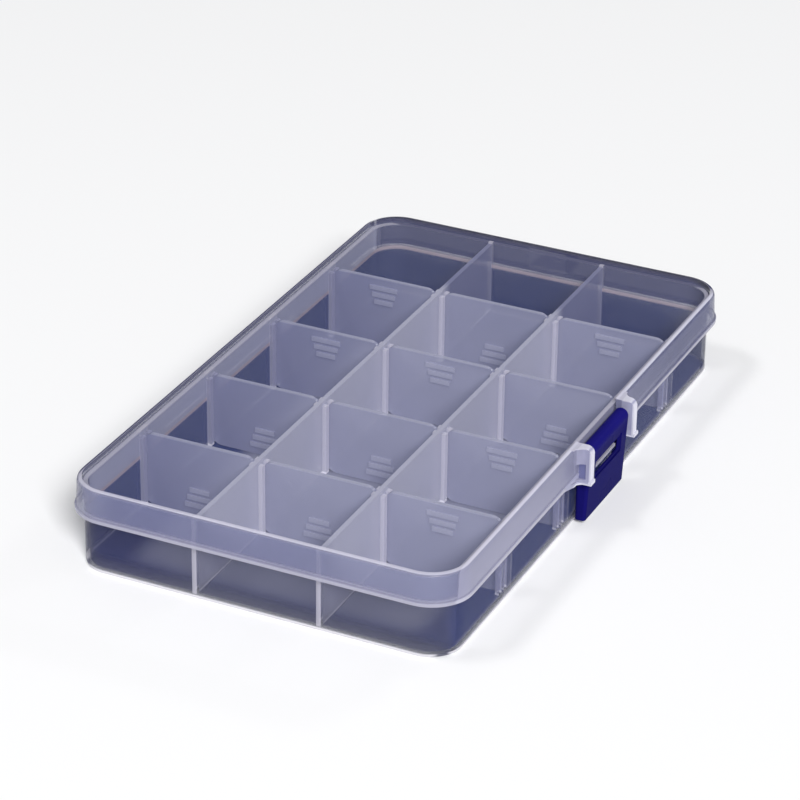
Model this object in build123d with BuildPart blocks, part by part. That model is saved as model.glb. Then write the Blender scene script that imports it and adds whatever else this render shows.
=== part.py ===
from build123d import *
import os
from math import atan, cos, degrees, radians, sin

# Fifteen-compartment organizer box: base tray, hinged lid, snap latch and twelve loose dividers.
# Millimetres. X runs across the box with the hinge at -X and the latch at +X, Y runs along it, +Z is up.
# The origin is the centre of the tray's underside. The box is modelled closed.

# ---- Base tray -------------------------------------------------------------------------------------
base_length = 172.0
base_width = 100.0
base_height = 22.0
base_corner_radius = 8.5
base_wall = 1.1
base_floor = 1.2
foot_radius = 1.0
partition_wall = 1.2
partition_drop = 0.4
weld = 0.5  # how far a joined feature runs into the wall that carries it

# ---- Dividers and their slots ----------------------------------------------------------------------
row_count = 4
row_pitch = 34.8
rib_width = 1.5
rib_depth = 1.2
rib_drop = 1.0
divider_thickness = 1.0
divider_drop = 0.6
divider_corner_radius = 3.0
slot_clearance = 0.2
divider_end_clearance = 0.3
divider_floor_clearance = 0.2
grip_widths = (8.3, 6.9, 5.5)
grip_height = 1.3
grip_pitch = 2.1
grip_edge_distance = 2.8
grip_proud = 0.35
# Whether the grip bars of each divider are at its top: rows from -Y to +Y, columns from -X to +X.
grips_at_top = (
    (False, False, True),
    (False, False, True),
    (True, True, False),
    (True, False, True),
)

# ---- Lid -------------------------------------------------------------------------------------------
lid_plate = 1.3
skirt_wall = 1.1
skirt_depth = 8.3
skirt_flare = 0.4
skirt_clearance = 0.4
rim_clearance = 0.2
lid_edge_radius = 1.2
lip_proud = 0.4
lip_height = 1.0
lip_edge_radius = 0.25
tab_width = 11.0
tab_length = 11.0
tab_thickness = 1.2
tab_corner_radius = 3.0
tab_hole_length = 5.6
tab_hole_width = 3.2
tab_hole_edge = 2.7

# ---- Latch, and its catch on the tray --------------------------------------------------------------
latch_width = 25.0
latch_gap = 0.5
latch_bottom = 1.4
latch_foot_thickness = 2.8
latch_plate = 0.85
latch_side_wall = 1.4
latch_edge_radius = 0.8
barrel_radius = 1.9
barrel_drop = 3.8
window_width = 15.2
window_height = 3.7
window_drop = 3.8
window_corner_radius = 0.5
recess_margin = 0.9
recess_depth = 0.35
channel_headroom = 0.6
pin_radius = 1.0
pin_length = 1.3
pin_running_clearance = 0.06
pin_end_clearance = 0.2
catch_width = 14.8
catch_height = 1.4
catch_clearance = 0.2

# ---- Ears on the lid that carry the latch ----------------------------------------------------------
ear_wall = 2.25
ear_side_clearance = 0.25
ear_cover = 1.1
ear_drop = 0.2
ear_leg = 1.8
ear_edge_radius = 1.8
ear_flare_radius = 2.4
ear_lip_height = 0.9
apron_length = 6.5
pocket_depth = 0.5
pocket_width = 2.2
pocket_height = 4.3
pocket_lift = 1.2
notch_depth = 1.25

# ---- Hinge -----------------------------------------------------------------------------------------
bar_radius = 1.1
bar_running_clearance = 0.06
bar_skirt_clearance = 0.5
hook_wall = 1.0
hook_wall_clearance = 0.25
hook_mouth = 110.0
hook_mouth_turn = -35.0
bridge_width = 2.2
bridge_height = 1.4
station_start = 37.0
station_length = 32.0
lug_width = 2.4
lug_rise = 0.7
lug_fall = 1.0
hook_end_clearance = 0.4
ledge_reach = 0.6
ledge_height = 0.9
ledge_clearance = 0.3
ledge_length = 134.0

# ---- Derived places --------------------------------------------------------------------------------
inner_width = base_width - 2 * base_wall
inner_length = base_length - 2 * base_wall
column_width = (inner_width - 2 * partition_wall) / 3
column_pitch = column_width + partition_wall
partition_x = column_pitch / 2
partition_top = base_height - partition_drop
rib_top = partition_top - rib_drop
column_x = [(column - 1) * column_pitch for column in range(3)]
row_y = [(row - (row_count - 1) / 2) * row_pitch for row in range(row_count)]
slot_width = divider_thickness + 2 * slot_clearance
divider_bottom = base_floor + divider_floor_clearance
divider_height = base_height - divider_drop - divider_bottom
divider_length = column_width - 2 * divider_end_clearance

lid_width = base_width + 2 * (skirt_clearance + skirt_wall)
lid_length = base_length + 2 * (skirt_clearance + skirt_wall)
lid_corner_radius = base_corner_radius + skirt_clearance + skirt_wall
lid_underside = base_height + rim_clearance
lid_top = lid_underside + lid_plate
skirt_bottom = lid_top - skirt_depth
skirt_outside = lid_width / 2 + skirt_flare
skirt_inside = skirt_outside - skirt_wall
panel_edge = lid_width / 2 - notch_depth
panel_length = lid_length - 2 * notch_depth
panel_corner_radius = lid_corner_radius - notch_depth

latch_back = base_width / 2 + latch_gap
barrel_x = latch_back + barrel_radius
barrel_z = lid_top - barrel_drop
window_top = barrel_z - window_drop
window_bottom = window_top - window_height
window_z = (window_top + window_bottom) / 2
channel_top = window_top + channel_headroom
catch_bottom = window_bottom + catch_clearance

ear_inner = latch_width / 2 + ear_side_clearance
ear_outer = ear_inner + ear_wall
ear_front = barrel_x + barrel_radius + ear_cover
ear_top = lid_top - ear_drop
ear_bottom = skirt_bottom - ear_leg
flare_end = ear_outer + ear_flare_radius
pin_hole_depth = pin_length - ear_side_clearance + pin_end_clearance

hook_bore = bar_radius + bar_running_clearance
hook_outer = hook_bore + hook_wall
hinge_x = -(base_width / 2 + ledge_reach + hook_wall_clearance + hook_outer)
hinge_z = skirt_bottom - bar_skirt_clearance - bar_radius
lug_y = [station_start + lug_width / 2 + step * (station_length - lug_width) / 2 for step in range(3)]
hook_y = [(lug_y[step] + lug_y[step + 1]) / 2 for step in range(2)]
hook_length = lug_y[1] - lug_y[0] - lug_width - 2 * hook_end_clearance


def latch_front(z):
    """X of the latch's leaning front face at a height."""
    foot = latch_back + latch_foot_thickness
    lean = (barrel_x + barrel_radius - foot) / (barrel_z - latch_bottom)
    return foot + lean * (z - latch_bottom)


def on_both_sides(distances):
    """The same distances along the box, towards +Y and towards -Y."""
    return [side * distance for side in (1, -1) for distance in distances]


catch_tip = latch_front(window_bottom) - latch_plate - catch_clearance

# ---- Base tray: one open moulding ------------------------------------------------------------------
with BuildPart() as base_tray:
    with BuildSketch(Plane.XY):
        RectangleRounded(base_width, base_length, base_corner_radius)
    extrude(amount=base_height)
    fillet(base_tray.faces().sort_by(Axis.Z)[0].edges(), foot_radius)
    with BuildSketch(Plane.XY.offset(base_floor)):
        RectangleRounded(inner_width, inner_length, base_corner_radius - base_wall)
    extrude(amount=base_height, mode=Mode.SUBTRACT)
    # Two long partitions, joined to both end walls.
    with BuildSketch(Plane.XY.offset(base_floor)):
        with Locations((-partition_x, 0), (partition_x, 0)):
            Rectangle(partition_wall, inner_length + 2 * weld)
    extrude(amount=partition_top - base_floor)
    # Rib pairs that hold the dividers, through each partition and inside each long wall.
    rib_places = [
        (-partition_x, partition_wall + 2 * rib_depth),
        (partition_x, partition_wall + 2 * rib_depth),
        (-inner_width / 2, 2 * rib_depth),
        (inner_width / 2, 2 * rib_depth),
    ]
    rib_offset = (slot_width + rib_width) / 2
    rib_y = [y + side * rib_offset for y in row_y for side in (-1, 1)]
    with BuildSketch(Plane.XY.offset(base_floor)):
        for rib_x, rib_span in rib_places:
            with Locations([(rib_x, y) for y in rib_y]):
                Rectangle(rib_span, rib_width)
        RectangleRounded(base_width - base_wall, base_length, base_corner_radius, mode=Mode.INTERSECT)
    extrude(amount=rib_top - base_floor)
    # Catch that the latch's window goes over.
    catch_root = base_width / 2 - weld
    with BuildSketch(Plane.XY.offset(catch_bottom)):
        with Locations(((catch_root + catch_tip) / 2, 0)):
            Rectangle(catch_tip - catch_root, catch_width)
    extrude(amount=catch_height)
    # Ledge along the hinge side, below the lid's skirt.
    ledge_root = -base_width / 2 + weld
    with BuildSketch(Plane.XY.offset(skirt_bottom - ledge_clearance - ledge_height)):
        with Locations((ledge_root - (ledge_reach + weld) / 2, 0)):
            Rectangle(ledge_reach + weld, ledge_length)
    extrude(amount=ledge_height)
    # Hinge lugs, and the round bars that they carry.
    with BuildSketch(Plane.XY.offset(hinge_z - lug_fall)):
        with Locations([((ledge_root + hinge_x) / 2, y) for y in on_both_sides(lug_y)]):
            Rectangle(ledge_root - hinge_x, lug_width)
    extrude(amount=lug_fall + lug_rise)
    with Locations([(hinge_x, y, hinge_z) for y in on_both_sides([station_start + station_length / 2])]):
        Cylinder(bar_radius, station_length, rotation=(90, 0, 0))
base_tray.part.label = "base_tray"

# ---- Ear at the latch's +Y end, mirrored for the other end when the lid is built -------------------
with BuildPart() as ear:
    with BuildSketch(Plane.XZ.offset(-ear_outer)):
        with BuildLine():
            shoulder = (ear_front, ear_top - ear_edge_radius)
            crown = (ear_front - ear_edge_radius, ear_top)
            foot = (ear_front, ear_bottom)
            Polyline(crown, (skirt_inside, ear_top), (skirt_inside, ear_bottom), foot, shoulder)
            RadiusArc(shoulder, crown, -ear_edge_radius)
        make_face()
    extrude(amount=ear_wall)
    # Flare into the skirt, and the lip round the foot, which stands out from the same outline.
    flare_x = lid_width / 2 + skirt_flare / 2
    for proud, height in ((0, ear_top - ear_bottom), (lip_proud, ear_lip_height)):
        with BuildSketch(Plane.XY.offset(ear_bottom)):
            with BuildLine():
                flare_side = (flare_x + ear_flare_radius, ear_outer + proud)
                flare_foot = (flare_x + proud, flare_end)
                Polyline(flare_foot, (skirt_inside, flare_end), (skirt_inside, ear_outer), flare_side)
                RadiusArc(flare_side, flare_foot, ear_flare_radius - proud)
            make_face()
        extrude(amount=height)
    with BuildSketch(Plane.XY.offset(ear_bottom)):
        with Locations((skirt_inside, ear_inner)):
            Rectangle(
                ear_front + lip_proud - skirt_inside, ear_wall + lip_proud, align=(Align.MIN, Align.MIN)
            )
    extrude(amount=ear_lip_height)
    # Skirt and lip that run down to the ear's foot.
    apron_end = flare_end + apron_length
    for reach, rise in ((skirt_wall, skirt_bottom - ear_bottom), (skirt_wall + lip_proud, 0)):
        with BuildSketch(Plane.YZ.offset(skirt_inside)):
            Polygon(
                (ear_outer, ear_bottom + lip_height + rise),
                (ear_outer, ear_bottom),
                (flare_end, ear_bottom),
                (apron_end, skirt_bottom),
                (apron_end, skirt_bottom + lip_height),
                (flare_end, ear_bottom + lip_height + rise),
                align=None,
            )
        extrude(amount=reach)
    # Pocket in the outer end, and the blind hole for the latch's pin.
    with Locations((skirt_outside, ear_outer - pocket_depth, ear_bottom + pocket_lift)):
        Box(
            pocket_width,
            pocket_depth + ear_flare_radius,
            pocket_height,
            align=(Align.MIN, Align.MIN, Align.MIN),
            mode=Mode.SUBTRACT,
        )

# ---- Lid panel: the lid's flat top, inside the frame that the skirt makes ---------------------------
# Panel and skirt are one moulding. They are two solids that meet face to face, so that the space under
# the panel and inside the skirt stays open.
with BuildPart() as lid_panel:
    with BuildSketch(Plane.XY.offset(lid_underside)):
        RectangleRounded(2 * panel_edge, panel_length, panel_corner_radius)
    extrude(amount=lid_plate)
lid_panel.part.label = "lid_panel"

# ---- Lid skirt: side walls with the latch ears, hinge hooks and hanging tab -------------------------
with BuildPart() as lid_skirt:
    with BuildSketch(Plane.XY.offset(skirt_bottom)):
        RectangleRounded(
            lid_width + 2 * skirt_flare, lid_length + 2 * skirt_flare, lid_corner_radius + skirt_flare
        )
    extrude(amount=skirt_depth, taper=degrees(atan(skirt_flare / skirt_depth)))
    fillet(lid_skirt.faces().sort_by(Axis.Z)[-1].edges(), lid_edge_radius)
    # Lip round the skirt's lower edge.
    lip_grow = 2 * (skirt_flare + lip_proud)
    with BuildSketch(Plane.XY.offset(skirt_bottom)):
        RectangleRounded(lid_width + lip_grow, lid_length + lip_grow, lid_corner_radius + lip_grow / 2)
    extrude(amount=lip_height)
    fillet(lid_skirt.faces().filter_by(Axis.Z).sort_by(Axis.Z)[1].outer_wire().edges(), lip_edge_radius)
    # Ears, and the hooks that ride on the tray's hinge bars.
    add(ear.part)
    mirror(ear.part, about=Plane.XZ)
    hook_reach = 2 * hook_outer
    mouth_edges = [radians(hook_mouth_turn + side * hook_mouth / 2) for side in (-1, 1)]
    for y in on_both_sides(hook_y):
        with BuildSketch(Plane.XZ.offset(-y - hook_length / 2)):
            with Locations((hinge_x, hinge_z)):
                Circle(hook_outer)
                Circle(hook_bore, mode=Mode.SUBTRACT)
                Polygon(
                    (0, 0),
                    *[(hook_reach * cos(edge), hook_reach * sin(edge)) for edge in mouth_edges],
                    align=None,
                    mode=Mode.SUBTRACT,
                )
            with Locations((-skirt_outside + weld, hinge_z + hook_bore + hook_wall / 2)):
                Rectangle(bridge_width, bridge_height, align=(Align.MAX, Align.MIN))
        extrude(amount=hook_length)
    # Hanging tab with its slot.
    tab_root = lid_length / 2 + skirt_flare - weld
    tab_end = lid_length / 2 + tab_length
    with BuildSketch(Plane.XY.offset(skirt_bottom)) as tab:
        with Locations((0, tab_root)):
            Rectangle(tab_width, tab_end - tab_root, align=(Align.CENTER, Align.MIN))
        fillet(tab.vertices().sort_by(Axis.Y)[-2:], tab_corner_radius)
        with Locations((0, tab_end - tab_hole_edge - tab_hole_width / 2)):
            SlotOverall(tab_hole_length, tab_hole_width, mode=Mode.SUBTRACT)
    extrude(amount=tab_thickness)
    # Hollow inside, with the same draft as the outside.
    cavity_height = lid_underside - skirt_bottom
    cavity_grow = 2 * (skirt_flare - skirt_wall)
    with BuildSketch(Plane.XY.offset(skirt_bottom)):
        RectangleRounded(
            lid_width + cavity_grow, lid_length + cavity_grow, lid_corner_radius + cavity_grow / 2
        )
    extrude(amount=cavity_height, taper=degrees(atan(skirt_flare / cavity_height)), mode=Mode.SUBTRACT)
    add(lid_panel.part, mode=Mode.SUBTRACT)
    # Notch for the latch, and the blind holes for its pins.
    with Locations((panel_edge, 0, ear_bottom)):
        Box(
            ear_front + lip_proud - panel_edge + weld,
            2 * ear_inner,
            lid_top - ear_bottom,
            align=(Align.MIN, Align.CENTER, Align.MIN),
            mode=Mode.SUBTRACT,
        )
    with Locations((barrel_x, 0, barrel_z)):
        Cylinder(
            pin_radius + pin_running_clearance,
            2 * (ear_inner + pin_hole_depth),
            rotation=(90, 0, 0),
            mode=Mode.SUBTRACT,
        )
lid_skirt.part.label = "lid_skirt"

# ---- Latch: barrel with end pins, over a hollow flap with a window ---------------------------------
with BuildPart() as latch:
    with BuildSketch(Plane.XZ):
        with BuildLine():
            flap_top = (latch_front(barrel_z), barrel_z)
            back_top = (latch_back, barrel_z)
            Polyline(back_top, (latch_back, latch_bottom), (latch_front(latch_bottom), latch_bottom), flap_top)
            ThreePointArc(flap_top, (barrel_x, barrel_z + barrel_radius), back_top)
        make_face()
    extrude(amount=latch_width / 2, both=True)
    flap = latch.faces().filter_by(GeomType.PLANE).sort_by(Axis.X)[-1]
    fillet([flap.edges().sort_by(Axis.Y)[0], flap.edges().sort_by(Axis.Y)[-1]], latch_edge_radius)
    # Hollow back, open behind and below, with its front wall parallel to the flap's face.
    with BuildSketch(Plane.XZ):
        Polygon(
            (latch_back - weld, 0),
            (latch_front(0) - latch_plate, 0),
            (latch_front(channel_top) - latch_plate, channel_top),
            (latch_back - weld, channel_top),
            align=None,
        )
    extrude(amount=latch_width / 2 - latch_side_wall, both=True, mode=Mode.SUBTRACT)
    # Window for the catch, in a shallow recess.
    with BuildSketch(Plane.YZ.offset(barrel_x)):
        with Locations((0, window_z)):
            RectangleRounded(window_width, window_height, window_corner_radius)
    extrude(amount=2 * barrel_radius, mode=Mode.SUBTRACT)
    recess_low = window_bottom - recess_margin
    recess_high = window_top + recess_margin
    with BuildSketch(Plane.XZ):
        Polygon(
            (latch_front(recess_low) - recess_depth, recess_low),
            (latch_front(recess_low) + weld, recess_low),
            (latch_front(recess_high) + weld, recess_high),
            (latch_front(recess_high) - recess_depth, recess_high),
            align=None,
        )
    extrude(amount=window_width / 2 + recess_margin, both=True, mode=Mode.SUBTRACT)
    with Locations((barrel_x, 0, barrel_z)):
        Cylinder(pin_radius, latch_width + 2 * pin_length, rotation=(90, 0, 0))
latch.part.label = "latch"

# ---- Dividers: loose plates with grip bars on both faces -------------------------------------------
dividers = []
for row, y in enumerate(row_y):
    for column, x in enumerate(column_x):
        at_top = grips_at_top[row][column]
        grip_edge = divider_bottom + divider_height if at_top else divider_bottom
        grip_step = -grip_pitch if at_top else grip_pitch
        first_grip = grip_edge + grip_edge_distance * (-1 if at_top else 1)
        with BuildPart() as divider:
            with BuildSketch(Plane.XZ.offset(-y)):
                with Locations((x, divider_bottom + divider_height / 2)):
                    RectangleRounded(divider_length, divider_height, divider_corner_radius)
            extrude(amount=divider_thickness / 2, both=True)
            with BuildSketch(Plane.XZ.offset(-y)):
                for step, grip_width in enumerate(grip_widths):
                    with Locations((x, first_grip + step * grip_step)):
                        Rectangle(grip_width, grip_height)
            extrude(amount=divider_thickness / 2 + grip_proud, both=True)
        divider.part.label = f"divider_r{row + 1}_c{column + 1}"
        dividers.append(divider.part)

os.makedirs("parts", exist_ok=True)
for piece in (base_tray.part, lid_panel.part, lid_skirt.part, latch.part, *dividers):
    export_step(piece, f"parts/{piece.label}.step")
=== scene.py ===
import math

import bpy
from mathutils import Matrix, Vector

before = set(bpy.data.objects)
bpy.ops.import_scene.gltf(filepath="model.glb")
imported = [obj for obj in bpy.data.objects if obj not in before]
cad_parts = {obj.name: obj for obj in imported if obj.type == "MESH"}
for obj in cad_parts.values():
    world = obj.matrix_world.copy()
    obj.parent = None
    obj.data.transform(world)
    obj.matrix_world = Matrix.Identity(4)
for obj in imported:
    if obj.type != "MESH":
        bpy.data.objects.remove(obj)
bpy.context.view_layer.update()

# ---- Camera ------------------------------------------------------------------------------------
# A long lens stands well back, off the front corner on the latch side, and looks down on the
# closed box at 28 degrees. It leans by less than a degree.
mm = 0.001
azimuth, elevation, roll = (math.radians(turn) for turn in (25.176, 27.851, 0.718))
camera_place = (324.86 * mm, -698.54 * mm, 423.94 * mm)

flat_share = math.cos(elevation)
back = Vector((math.sin(azimuth) * flat_share, -math.cos(azimuth) * flat_share, math.sin(elevation)))
right = Vector((math.cos(azimuth), math.sin(azimuth), 0))
up = back.cross(right)
rolled_right = math.cos(roll) * right + math.sin(roll) * up
rolled_up = math.cos(roll) * up - math.sin(roll) * right
turned = Matrix((rolled_right, rolled_up, back)).transposed().to_4x4()

camera = bpy.data.objects.new("camera", bpy.data.cameras.new("camera"))
bpy.context.scene.collection.objects.link(camera)
camera.matrix_world = Matrix.Translation(camera_place) @ turned
camera.data.sensor_width = 36
camera.data.lens = 154.03
camera.data.clip_start = 20 * mm
bpy.context.scene.camera = camera

# ---- Base tray ---------------------------------------------------------------------------------
# One shallow moulding in thin see-through polypropylene: floor, four walls and two long
# partitions, with rib pairs for the dividers. Its walls look smoky, its partitions milky.


class Signal:
    """A value in a plastic's node tree. Arithmetic on it adds Math nodes; node() adds any other."""

    def __init__(self, tree, socket=None):
        self.tree, self.socket = tree, socket

    def node(self, kind, settings=None, values=None, out=0):
        made = self.tree.nodes.new(kind)
        for name, setting in (settings or {}).items():
            setattr(made, name, setting)
        for name, value in (values or {}).items():
            if isinstance(value, Signal):
                self.tree.links.new(value.socket, made.inputs[name])
            else:
                made.inputs[name].default_value = value
        return Signal(self.tree, made.outputs[out] if made.outputs else None)

    def maths(self, operation, *terms):
        return self.node("ShaderNodeMath", {"operation": operation}, dict(enumerate(terms)))

    def __add__(self, other):
        return self.maths("ADD", self, other)

    def __sub__(self, other):
        return self.maths("SUBTRACT", self, other)

    def __rsub__(self, other):
        return self.maths("SUBTRACT", other, self)

    def __mul__(self, other):
        return self.maths("MULTIPLY", self, other)

    def __pow__(self, power):
        return self.maths("POWER", self, power)

    def __abs__(self):
        return self.maths("ABSOLUTE", self)

    def __or__(self, other):
        """The larger of two masks, so 1 wherever either of them is 1."""
        return self.maths("MAXIMUM", self, other)

    __radd__, __rmul__ = __add__, __mul__

    def at_least(self, limit):
        return self.maths("MAXIMUM", self, limit)

    def at_most(self, limit):
        return self.maths("MINIMUM", self, limit)

    def rise(self, start, end):
        """0 before start, 1 after end, and smooth between them."""
        return self.node(
            "ShaderNodeMapRange",
            {"interpolation_type": "SMOOTHSTEP"},
            {"Value": self, "From Min": start, "From Max": end},
        )

    def fall(self, start, end):
        return 1 - self.rise(start, end)


def new_finish(name):
    material = bpy.data.materials.new(name)
    material.use_nodes = True
    material.node_tree.nodes.clear()
    return material, Signal(material.node_tree)


def moulded_place(start):
    """Place on the moulding as (vector, x, y, z), in metres."""
    place = start.node("ShaderNodeTexCoord", out="Object")
    parts = start.node("ShaderNodeSeparateXYZ", values={"Vector": place})
    outputs = parts.socket.node.outputs
    return place, *(Signal(start.tree, outputs[axis]) for axis in "XYZ")


def moulded_skin(start, place, ripple=0.004 * mm, scale=45):
    """Faint flow ripple that every moulded face keeps from the melt."""
    flow = start.node("ShaderNodeTexNoise", values={"Vector": place, "Scale": scale, "Detail": 1})
    bump = start.node("ShaderNodeBump", values={"Strength": 0.6, "Distance": ripple, "Height": flow})
    return flow, bump


def seen_edge_on(start):
    """1 where a face is seen edge-on, so through more plastic, and 0 where it is seen square."""
    return start.node("ShaderNodeLayerWeight", values={"Blend": 0.35}, out="Facing")


def tinted(start, plain, *layers):
    """The plain colour with each (share, tint) laid over it in turn."""
    colour = plain
    for share, tint in layers:
        colour = start.node("ShaderNodeMix", {"data_type": "RGBA"}, {0: share, 6: colour, 7: tint}, out=2)
    return colour


def clear_plastic(start, colour, opacity, roughness, normal, shine=0.5):
    """A see-through moulding: its plastic covers the share of light that opacity gives."""
    plastic = start.node(
        "ShaderNodeBsdfPrincipled",
        values={
            "Base Color": colour,
            "Roughness": roughness,
            "IOR": 1.49,
            "Specular IOR Level": shine,
            "Normal": normal,
        },
    )
    clear = start.node("ShaderNodeBsdfTransparent", values={"Color": (1, 1, 1, 1)})
    covered = opacity.at_most(0.95)
    mixed = start.node("ShaderNodeMixShader", values={0: covered, 1: clear, 2: plastic})
    start.node("ShaderNodeOutputMaterial", values={"Surface": mixed})


def dress(names, material):
    for name in names:
        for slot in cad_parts[name].material_slots:
            slot.material = material


# Places in the tray, from its middle and from its underside.
wall_outside_x = 50.0 * mm
wall_inside_x = 48.9 * mm
wall_inside_y = 84.9 * mm
straight_wall_y = 74.0 * mm
partition_x = 16.5 * mm
row_pitch = 34.8 * mm
divider_end_row = 1.5 * row_pitch
floor_top = 1.2 * mm
catch_bottom = 12.4 * mm
skirt_foot = 15.2 * mm
tray_rim = 22.0 * mm


def from_nearest_row(along):
    """Distance from the nearest row of dividers, where along is the distance from the box's middle."""
    return abs(abs(along - row_pitch) - row_pitch / 2)


tray_finish, start = new_finish("tray_plastic")
place, x, y, z = moulded_place(start)
flow, bump = moulded_skin(start, place)
edge_on = seen_edge_on(start)
across, along = abs(x), abs(y)
from_partition = abs(across - partition_x)
from_slot = from_nearest_row(along)

# The partitions and the rib pairs, which are milky from the floor up.
straight = along.fall(straight_wall_y - 2 * mm, straight_wall_y)
partition_ends = along.fall(wall_inside_y - 0.3 * mm, wall_inside_y - 0.05 * mm)
partition = from_partition.fall(1.9 * mm, 2.1 * mm) * partition_ends
rib_front = across.rise(wall_inside_x - 1.5 * mm, wall_inside_x - 1.3 * mm)
rib_root = across.fall(wall_inside_x - 0.15 * mm, wall_inside_x - 0.03 * mm)
wall_ribs = rib_front * rib_root * straight
above_floor = z.rise(floor_top + 0.05 * mm, floor_top + 0.4 * mm)
milky = (partition + wall_ribs).at_most(1.0) * above_floor
partition_ribs = milky * (1 - wall_ribs) * from_partition.rise(0.7 * mm, 0.85 * mm)
# A pale line where the partitions and ribs meet the floor is a painted highlight.
partition_foot_highlight = milky * z.fall(floor_top + 0.6 * mm, floor_top + 1.0 * mm)

# Strips on the outer walls where a partition or a rib pair joins them and the plastic is thicker; they
# carry a painted highlight.
end_wall = along.rise(wall_inside_y - 0.2 * mm, wall_inside_y + 0.05 * mm)
end_strip = from_partition.fall(0.5 * mm, 0.75 * mm) * end_wall
side_wall = across.rise(wall_inside_x - 0.1 * mm, wall_inside_x + 0.05 * mm)
side_strip = from_slot.fall(2.0 * mm, 2.3 * mm) * side_wall * straight
side_strip_share = from_slot.rise(1.4 * mm, 1.7 * mm) * 0.35 + 0.25
strip_highlight = (end_strip + side_strip * side_strip_share).at_most(1.0) * z.rise(floor_top, floor_top + 0.3 * mm)

# Painted highlights on the edges that catch the light: the rim, least at the far end, the foot, and the
# latch's catch. A pale line also runs round the walls at the foot of the lid's skirt.
far_end = y.rise(wall_inside_y - 0.9 * mm, wall_inside_y - 0.1 * mm)
rim_highlight = z.rise(tray_rim - 0.5 * mm, tray_rim - 0.1 * mm) * (1 - far_end * 0.8)
foot_sides = across.rise(wall_inside_x - 0.9 * mm, wall_inside_x + 0.1 * mm)
foot_ends = along.rise(wall_inside_y - 0.9 * mm, wall_inside_y + 0.1 * mm)
foot_highlight = z.fall(floor_top - 0.3 * mm, floor_top + 0.2 * mm) * (foot_sides | foot_ends)
catch_sides = x.rise(wall_outside_x + 0.1 * mm, wall_outside_x + 0.3 * mm)
catch_highlight = catch_sides * z.rise(catch_bottom + 0.4 * mm, catch_bottom + 0.8 * mm)
painted_highlight = (strip_highlight * 0.85 + rim_highlight * 0.8 + catch_highlight).at_most(1.0)
line_bottom = z.rise(skirt_foot - 1.0 * mm, skirt_foot - 0.6 * mm)
line_top = z.fall(skirt_foot + 0.1 * mm, skirt_foot + 0.4 * mm)
line = line_bottom * line_top * (1 - milky)

# The glossy floor carries a painted milky reflection of the frosted dividers, but not in the back row,
# where only the clear end wall stands over it, or close to the walls.
floor_sides = across.fall(wall_inside_x - 0.7 * mm, wall_inside_x - 0.1 * mm)
floor_ends = along.fall(wall_inside_y - 0.7 * mm, wall_inside_y - 0.1 * mm)
floor = (1 - above_floor) * floor_sides * floor_ends
painted_reflection_start = y.rise(-82.0 * mm, -72.0 * mm)
painted_reflection_end = y.fall(divider_end_row - 2.2 * mm, divider_end_row + 0.3 * mm)
painted_reflection = floor * painted_reflection_start * painted_reflection_end * across.fall(34.0 * mm, 42.0 * mm)

# The walls: deep navy low down, paler above the skirt's foot, and each side in its own tone of painted
# light and shade.
hinge_wall = x.fall(-wall_inside_x + 0.1 * mm, -wall_inside_x + 0.4 * mm)
latch_wall = x.rise(wall_inside_x - 0.3 * mm, wall_inside_x - 0.1 * mm)
front = y.fall(-84.0 * mm, -78.0 * mm)
upper = z.rise(skirt_foot - 0.3 * mm, skirt_foot + 0.3 * mm) * (1 - milky)
deep = (1 - milky) * (1 - painted_reflection) * (1 - front)
# The wall is painted paler in the lid's notch, above the barrel, where no skirt stands in front of it:
# painted light on a wall in the shade of the latch and ears.
notch_wall = x.rise(wall_inside_x + 0.1 * mm, wall_inside_x + 0.3 * mm)
notch = notch_wall * along.fall(12.0 * mm, 13.4 * mm) * z.rise(16.0 * mm, 18.0 * mm)

# Painted shade darkens the hinge half, and painted light brightens the navy and the upper tint on the
# hinge wall.
smoke_shaded_by_hinge = (0.053, 0.057, 0.138, 1)
smoke = (0.086, 0.091, 0.160, 1)
navy = (0.036, 0.050, 0.165, 1)
navy_lit_by_hinge = (0.062, 0.080, 0.22, 1)
upper_tint = (0.13, 0.135, 0.25, 1)
upper_tint_lit_by_hinge = (0.48, 0.49, 0.66, 1)
# Painted reflection of the dividers on the floor.
painted_reflection_tint = (0.34, 0.35, 0.50, 1)
milk = (0.68, 0.68, 0.83, 1)
# Painted shade: the partitions are darker in the back row, where no dividers stand.
milk_shaded_in_back_row = (0.30, 0.31, 0.50, 1)
wall_rib_tint = (0.44, 0.44, 0.62, 1)
partition_rib_tint = (0.86, 0.80, 0.88, 1)
# Painted highlight at the foot of the partitions.
partition_foot_highlight_tint = (0.88, 0.86, 0.93, 1)
line_tint = (0.62, 0.50, 0.54, 1)
# Painted highlight on the strips, the rim and the catch.
painted_highlight_tint = (0.60, 0.58, 0.68, 1)
# Painted highlight on the foot.
foot_highlight_tint = (0.92, 0.90, 0.96, 1)
# Painted light in the notch.
notch_painted_light_tint = (0.50, 0.50, 0.68, 1)
colour = tinted(
    start,
    smoke_shaded_by_hinge,
    (x.rise(-34.0 * mm, -14.0 * mm), smoke),
    (deep, navy),
    (deep * hinge_wall, navy_lit_by_hinge),
    (upper, upper_tint),
    (upper * hinge_wall, upper_tint_lit_by_hinge),
    (painted_reflection, painted_reflection_tint),
    (milky, milk),
    (milky * y.rise(divider_end_row + 0.8 * mm, divider_end_row + 5.8 * mm), milk_shaded_in_back_row),
    (wall_ribs * milky, wall_rib_tint),
    (partition_ribs * 0.3, partition_rib_tint),
    (partition_foot_highlight * 0.8, partition_foot_highlight_tint),
    (line * 0.7, line_tint),
    (painted_highlight, painted_highlight_tint),
    (foot_highlight, foot_highlight_tint),
    (notch * (1 - rim_highlight) * 0.7, notch_painted_light_tint),
)
wall_cover = deep * (0.26 - upper * 0.16 - latch_wall * (0.52 - upper * 0.44)) - front * 0.16
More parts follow.
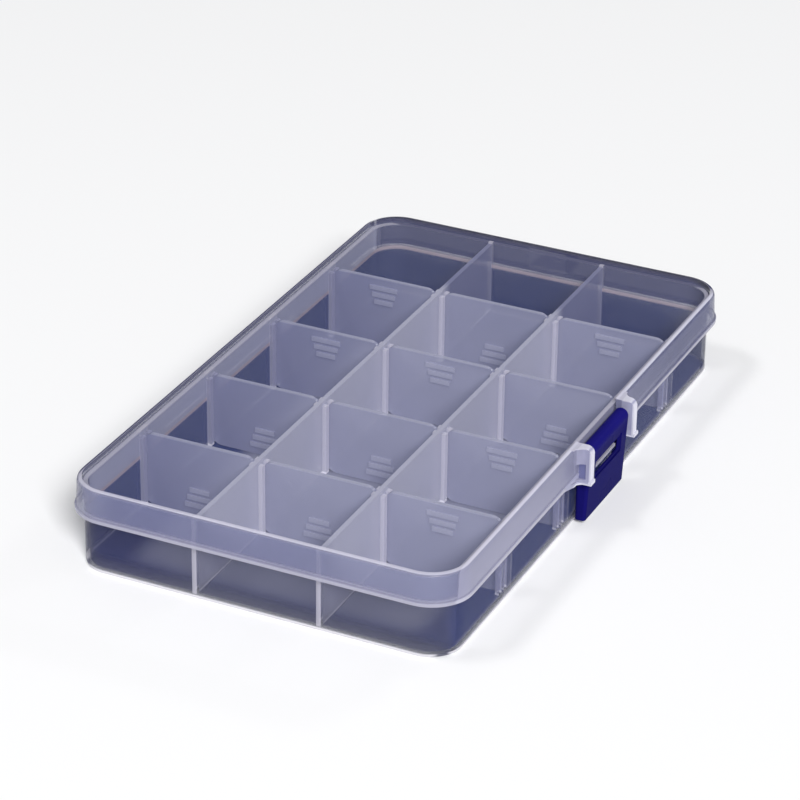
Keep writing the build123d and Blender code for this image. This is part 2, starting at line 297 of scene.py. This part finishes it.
inside_cover = (milky + painted_reflection) * 0.08 + partition_ribs * 0.15 + partition_foot_highlight * 0.30 + floor * (1 - painted_reflection) * 0.15
edge_cover = edge_on * 0.20 + (painted_highlight + foot_highlight + notch * 0.5) * 0.30
opacity = wall_cover + inside_cover + edge_cover + 0.40
clear_plastic(start, colour, opacity, flow * 0.08 + 0.12, bump, shine=0.22)
dress(["base_tray"], tray_finish)

# ---- Dividers ----------------------------------------------------------------------------------
# Twelve loose plates in the same plastic, frosted, which drop into the rib slots. Each has three
# short grip bars moulded on both faces.
divider_top = 21.4 * mm
plate_face = 0.5 * mm  # from the middle of the plate's thickness

divider_finish, start = new_finish("divider_plastic")
place, x, y, z = moulded_place(start)
flow, bump = moulded_skin(start, place)
edge_on = seen_edge_on(start)
top_edge = z.rise(divider_top - 0.4 * mm, divider_top - 0.1 * mm)
grip = from_nearest_row(abs(y)).rise(plate_face + 0.05 * mm, plate_face + 0.25 * mm)

# Painted shade: the plates on the hinge side are darker.
frost_shaded_by_hinge = (0.33, 0.34, 0.52, 1)
frost = (0.44, 0.45, 0.61, 1)
# Painted highlight on the top edge and the grip bars.
frost_highlight = (0.68, 0.68, 0.80, 1)
colour = tinted(
    start,
    frost_shaded_by_hinge,
    (x.rise(-46.0 * mm, -14.0 * mm), frost),
    ((top_edge * 0.4 + grip * 0.3).at_most(1.0), frost_highlight),
)
opacity = edge_on * 0.20 + top_edge * 0.10 + grip * 0.08 + 0.50
clear_plastic(start, colour, opacity, flow * 0.08 + 0.16, bump)
dividers = [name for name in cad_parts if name.startswith("divider_")]
dress(dividers, divider_finish)

# ---- Lid panel ---------------------------------------------------------------------------------
# The lid's flat top in clear polypropylene, hardly seen over the tray. It is one moulding with the
# skirt, so nothing shows where their faces meet inside the plastic.
panel_finish, start = new_finish("lid_panel_plastic")
place, *_ = moulded_place(start)
flow, bump = moulded_skin(start, place)
edge_on = seen_edge_on(start)
facing = start.node("ShaderNodeTexCoord", out="Normal")
facing_up = start.node("ShaderNodeSeparateXYZ", values={"Vector": facing}, out="Z")
top_or_underside = abs(facing_up).rise(0.3, 0.7)

clear_tint = (0.10, 0.12, 0.24, 1)
clear_tint_in_flow = (0.12, 0.14, 0.26, 1)
colour = tinted(start, clear_tint, (flow.rise(0.3, 0.7), clear_tint_in_flow))
opacity = (edge_on * 0.10 + 0.04) * top_or_underside
clear_plastic(start, colour, opacity, flow * 0.05 + 0.10, bump)
dress(["lid_panel"], panel_finish)

# ---- Lid skirt ---------------------------------------------------------------------------------
# The lid's side walls under a rolled upper edge, with a bead round their foot, four hinge hooks on
# the long side away from the latch, a hanging tab, and two ears that carry the latch.
bend_x = 41.5 * mm  # the lid's corners are rounded about (bend_x, bend_y)
bend_y = 77.5 * mm
panel_bend = 8.75 * mm
panel_underside = 22.2 * mm
lid_top = 23.5 * mm
skirt_inside_x = 50.4 * mm
skirt_inside_y = 86.4 * mm
skirt_outside_x = 51.9 * mm
lid_end_y = 87.5 * mm
tab_half_width = 5.5 * mm
ear_front_x = 55.4 * mm
ear_outside_y = 15.0 * mm
ear_bottom = 13.4 * mm
ear_top = 23.3 * mm
apron_end_y = 24.0 * mm

skirt_finish, start = new_finish("lid_skirt_plastic")
place, x, y, z = moulded_place(start)
flow, bump = moulded_skin(start, place)
edge_on = seen_edge_on(start)
across, along = abs(x), abs(y)

# How far out a place is from the panel's edge, round the corners too. The faces where the panel
# and the skirt meet are left fully clear.
past_bend_x = (across - bend_x).at_least(0)
past_bend_y = (along - bend_y).at_least(0)
from_panel = (past_bend_x**2 + past_bend_y**2) ** 0.5 - panel_bend
beside_panel = z.rise(panel_underside - 0.05 * mm, panel_underside)
meeting = from_panel.fall(0.04 * mm, 0.09 * mm) * beside_panel

# The sides, each in its own tone of painted light and shade, and the rolled edge and bead that run round
# them, with a painted highlight on the bead and the near rolled edge and painted shade on the far rolled
# edge.
beside_latch = along.fall(apron_end_y - 2.0 * mm, apron_end_y)
ears = x.rise(skirt_outside_x, skirt_outside_x + 0.3 * mm) * beside_latch
tab = y.rise(lid_end_y + 1.1 * mm, lid_end_y + 1.4 * mm)
back_bend = from_panel.rise(0.10 * mm, 0.20 * mm) * y.rise(81.5 * mm, 83.0 * mm)
hinge_side = x.fall(-skirt_inside_x - 0.2 * mm, -skirt_inside_x + 0.2 * mm)
latch_side = x.rise(skirt_inside_x - 0.1 * mm, skirt_inside_x + 0.3 * mm)
far_side = (y.rise(skirt_inside_y - 0.2 * mm, skirt_inside_y + 0.2 * mm) | back_bend) * (1 - tab)
tab_behind = far_side * across.fall(tab_half_width - 0.7 * mm, tab_half_width + 0.7 * mm)
near_sides = (1 - far_side) * (1 - hinge_side)
near_roll_highlight = z.rise(lid_top - 0.45 * mm, lid_top - 0.2 * mm) * (1 - ears) * near_sides
hinge_edge = x.fall(-skirt_inside_x - 0.2 * mm, -skirt_inside_x)
far_edge = y.rise(skirt_inside_y, skirt_inside_y + 0.1 * mm)
far_roll_shade = z.rise(lid_top - 2.6 * mm, lid_top - 2.1 * mm) * (hinge_edge | far_edge | back_bend)
far_roll_outside_shade = far_roll_shade * x.fall(-skirt_inside_x - 0.8 * mm, -skirt_inside_x - 0.5 * mm)
bead = z.fall(skirt_foot + 0.7 * mm, skirt_foot + 1.1 * mm) * (1 - ears) * (1 - tab)

# Each ear has a shallow pocket in its outer side, with painted shade at its back, and its rounded edges
# carry a painted highlight.
within_ear = along.rise(ear_outside_y - 0.8 * mm, ear_outside_y - 0.6 * mm)
below_ear_side = along.fall(ear_outside_y - 0.3 * mm, ear_outside_y - 0.05 * mm)
over_pocket_foot = z.rise(ear_bottom + 1.0 * mm, ear_bottom + 1.3 * mm)
under_pocket_top = z.fall(ear_bottom + 5.5 * mm, ear_bottom + 5.7 * mm)
pocket = ears * within_ear * below_ear_side * over_pocket_foot * under_pocket_top
pocket_back = pocket * x.fall(ear_front_x - 1.4 * mm, ear_front_x - 1.1 * mm)
ear_crown = z.rise(ear_top - 0.4 * mm, ear_top - 0.1 * mm)
ear_foot = z.fall(ear_bottom + 0.3 * mm, ear_bottom + 0.6 * mm)
ear_front = x.rise(ear_front_x - 0.6 * mm, ear_front_x - 0.2 * mm)
ear_rim_highlight = ears * (ear_front | ear_crown | ear_foot)

# Painted light and shade: the same plastic is lighter at the front corners and towards the front of the
# latch side, and darker in the front middle, on the hinge side, the far side and the latch side.
front_left_lit = (0.29, 0.30, 0.45, 1)
front_middle_shaded = (0.21, 0.22, 0.37, 1)
front_right_lit = (0.26, 0.27, 0.42, 1)
hinge_side_shade_tint = (0.22, 0.225, 0.36, 1)
far_side_shade_tint = (0.12, 0.125, 0.23, 1)
tab_painted_see_through_tint = (0.60, 0.60, 0.72, 1)
latch_side_shade_tint = (0.12, 0.13, 0.25, 1)
latch_side_front_lit = (0.38, 0.38, 0.52, 1)
fitting_tint = (0.44, 0.44, 0.61, 1)
# Painted shade at the back of the ear pocket.
pocket_shade_tint = (0.16, 0.17, 0.36, 1)
# Painted highlight on the ear rims.
ear_rim_highlight_tint = (0.80, 0.79, 0.88, 1)
# Painted highlights on the bead and the near rolled edge.
bead_highlight_tint = (0.50, 0.49, 0.58, 1)
near_roll_highlight_tint = (0.58, 0.57, 0.69, 1)
# Painted shade: a dark line along the far rolled edges.
far_roll_shade_tint = (0.045, 0.045, 0.12, 1)
far_roll_outside_shade_tint = (0.17, 0.17, 0.28, 1)
colour = tinted(
    start,
    front_left_lit,
    (x.rise(-46 * mm, -36 * mm), front_middle_shaded),
    (x.rise(8 * mm, 30 * mm), front_right_lit),
    (hinge_side, hinge_side_shade_tint),
    (far_side, far_side_shade_tint),
    # A pale patch of painted light is put on the side that the hanging tab stands on, in place of the tab
    # seen through it.
    (tab_behind, tab_painted_see_through_tint),
    (latch_side, latch_side_shade_tint),
    (latch_side * y.fall(-60 * mm, 60 * mm), latch_side_front_lit),
    (ears | tab, fitting_tint),
    (pocket_back, pocket_shade_tint),
    (ear_rim_highlight * 0.8, ear_rim_highlight_tint),
    (bead * 0.8, bead_highlight_tint),
    (near_roll_highlight, near_roll_highlight_tint),
    (far_roll_shade, far_roll_shade_tint),
    (far_roll_outside_shade, far_roll_outside_shade_tint),
)
side_cover = (hinge_side + far_side + latch_side).at_most(1.0) * 0.19
roll_cover = bead * 0.22 + near_roll_highlight * 0.25 + far_roll_shade * 0.45
fitting_cover = tab * 0.25 - ears * 0.15 + (pocket + ear_rim_highlight) * 0.15
edge_cover = edge_on * (ears * 0.45 + 0.10)
opacity = (side_cover + roll_cover + fitting_cover + edge_cover + 0.38) * (1 - meeting)
clear_plastic(start, colour, opacity, flow * 0.05 + 0.14 + far_roll_shade * 0.6, bump, shine=0.2)
dress(["lid_skirt"], skirt_finish)

# ---- Latch -------------------------------------------------------------------------------------
# An opaque blue snap latch, moulded in one with the barrel that turns between the lid's ears. Its
# skin is dull, so that the blue stays deep.
barrel_z = 19.7 * mm

latch_finish, start = new_finish("latch_plastic")
place, *_, z = moulded_place(start)
flow, bump = moulded_skin(start, place, ripple=0.006 * mm, scale=120)
# The blue varies at random with the flow and is painted lighter on the barrel's crest, a painted
# highlight.
crest_highlight = z.rise(barrel_z - 2.2 * mm, barrel_z + 1.3 * mm)

deep_blue = (0.006, 0.005, 0.085, 1)
crest_highlight_blue = (0.011, 0.009, 0.155, 1)
latch_shader = start.node(
    "ShaderNodeBsdfPrincipled",
    values={
        "Base Color": tinted(start, deep_blue, (flow * 0.4 + crest_highlight * 0.6, crest_highlight_blue)),
        "Roughness": flow * 0.08 + 0.24,
        "Specular IOR Level": 0.004,
        "Normal": bump,
    },
)
start.node("ShaderNodeOutputMaterial", values={"Surface": latch_shader})
dress(["latch"], latch_finish)

# ---- Table and studio --------------------------------------------------------------------------
# A plain pale table runs out past the view. A large softbox hangs high in front on the latch side,
# two faint strips over the front left and behind draw the edges, and the room is dim and even.
reach = 4.0
table = bpy.data.objects.new("table", bpy.data.meshes.new("table"))
table.data.from_pydata(
    [(-reach, -reach, 0), (reach, -reach, 0), (reach, reach, 0), (-reach, reach, 0)],
    [],
    [(0, 1, 2, 3)],
)
bpy.context.scene.collection.objects.link(table)
table_finish, start = new_finish("table")
surface = start.node(
    "ShaderNodeBsdfPrincipled",
    values={"Base Color": (0.95, 0.95, 0.955, 1), "Roughness": 0.8, "Specular IOR Level": 0.1},
)
start.node("ShaderNodeOutputMaterial", values={"Surface": surface})
table.data.materials.append(table_finish)


def lamp(name, place, size, watts):
    """A rectangular lamp that is turned towards the box."""
    made = bpy.data.objects.new(name, bpy.data.lights.new(name, "AREA"))
    made.data.shape = "RECTANGLE"
    made.data.size, made.data.size_y = size
    made.data.energy = watts
    made.location = place
    made.rotation_euler = (-Vector(place)).to_track_quat("-Z", "Y").to_euler()
    bpy.context.scene.collection.objects.link(made)


lamp("key_softbox", place=(3.0, -4.0, 3.6), size=(1.9, 1.6), watts=425)
lamp("front_edge_strip", place=(-1.2, -0.9, 2.6), size=(0.7, 0.35), watts=14)
lamp("side_edge_strip", place=(1.05, 2.4, 1.45), size=(0.6, 0.15), watts=5)

studio = bpy.data.worlds.new("studio")
bpy.context.scene.world = studio
studio.use_nodes = True
room = studio.node_tree.nodes["Background"]
room.inputs["Color"].default_value = (0.97, 0.98, 1.0, 1)
room.inputs["Strength"].default_value = 0.22

bpy.context.scene.view_settings.view_transform = "Standard"
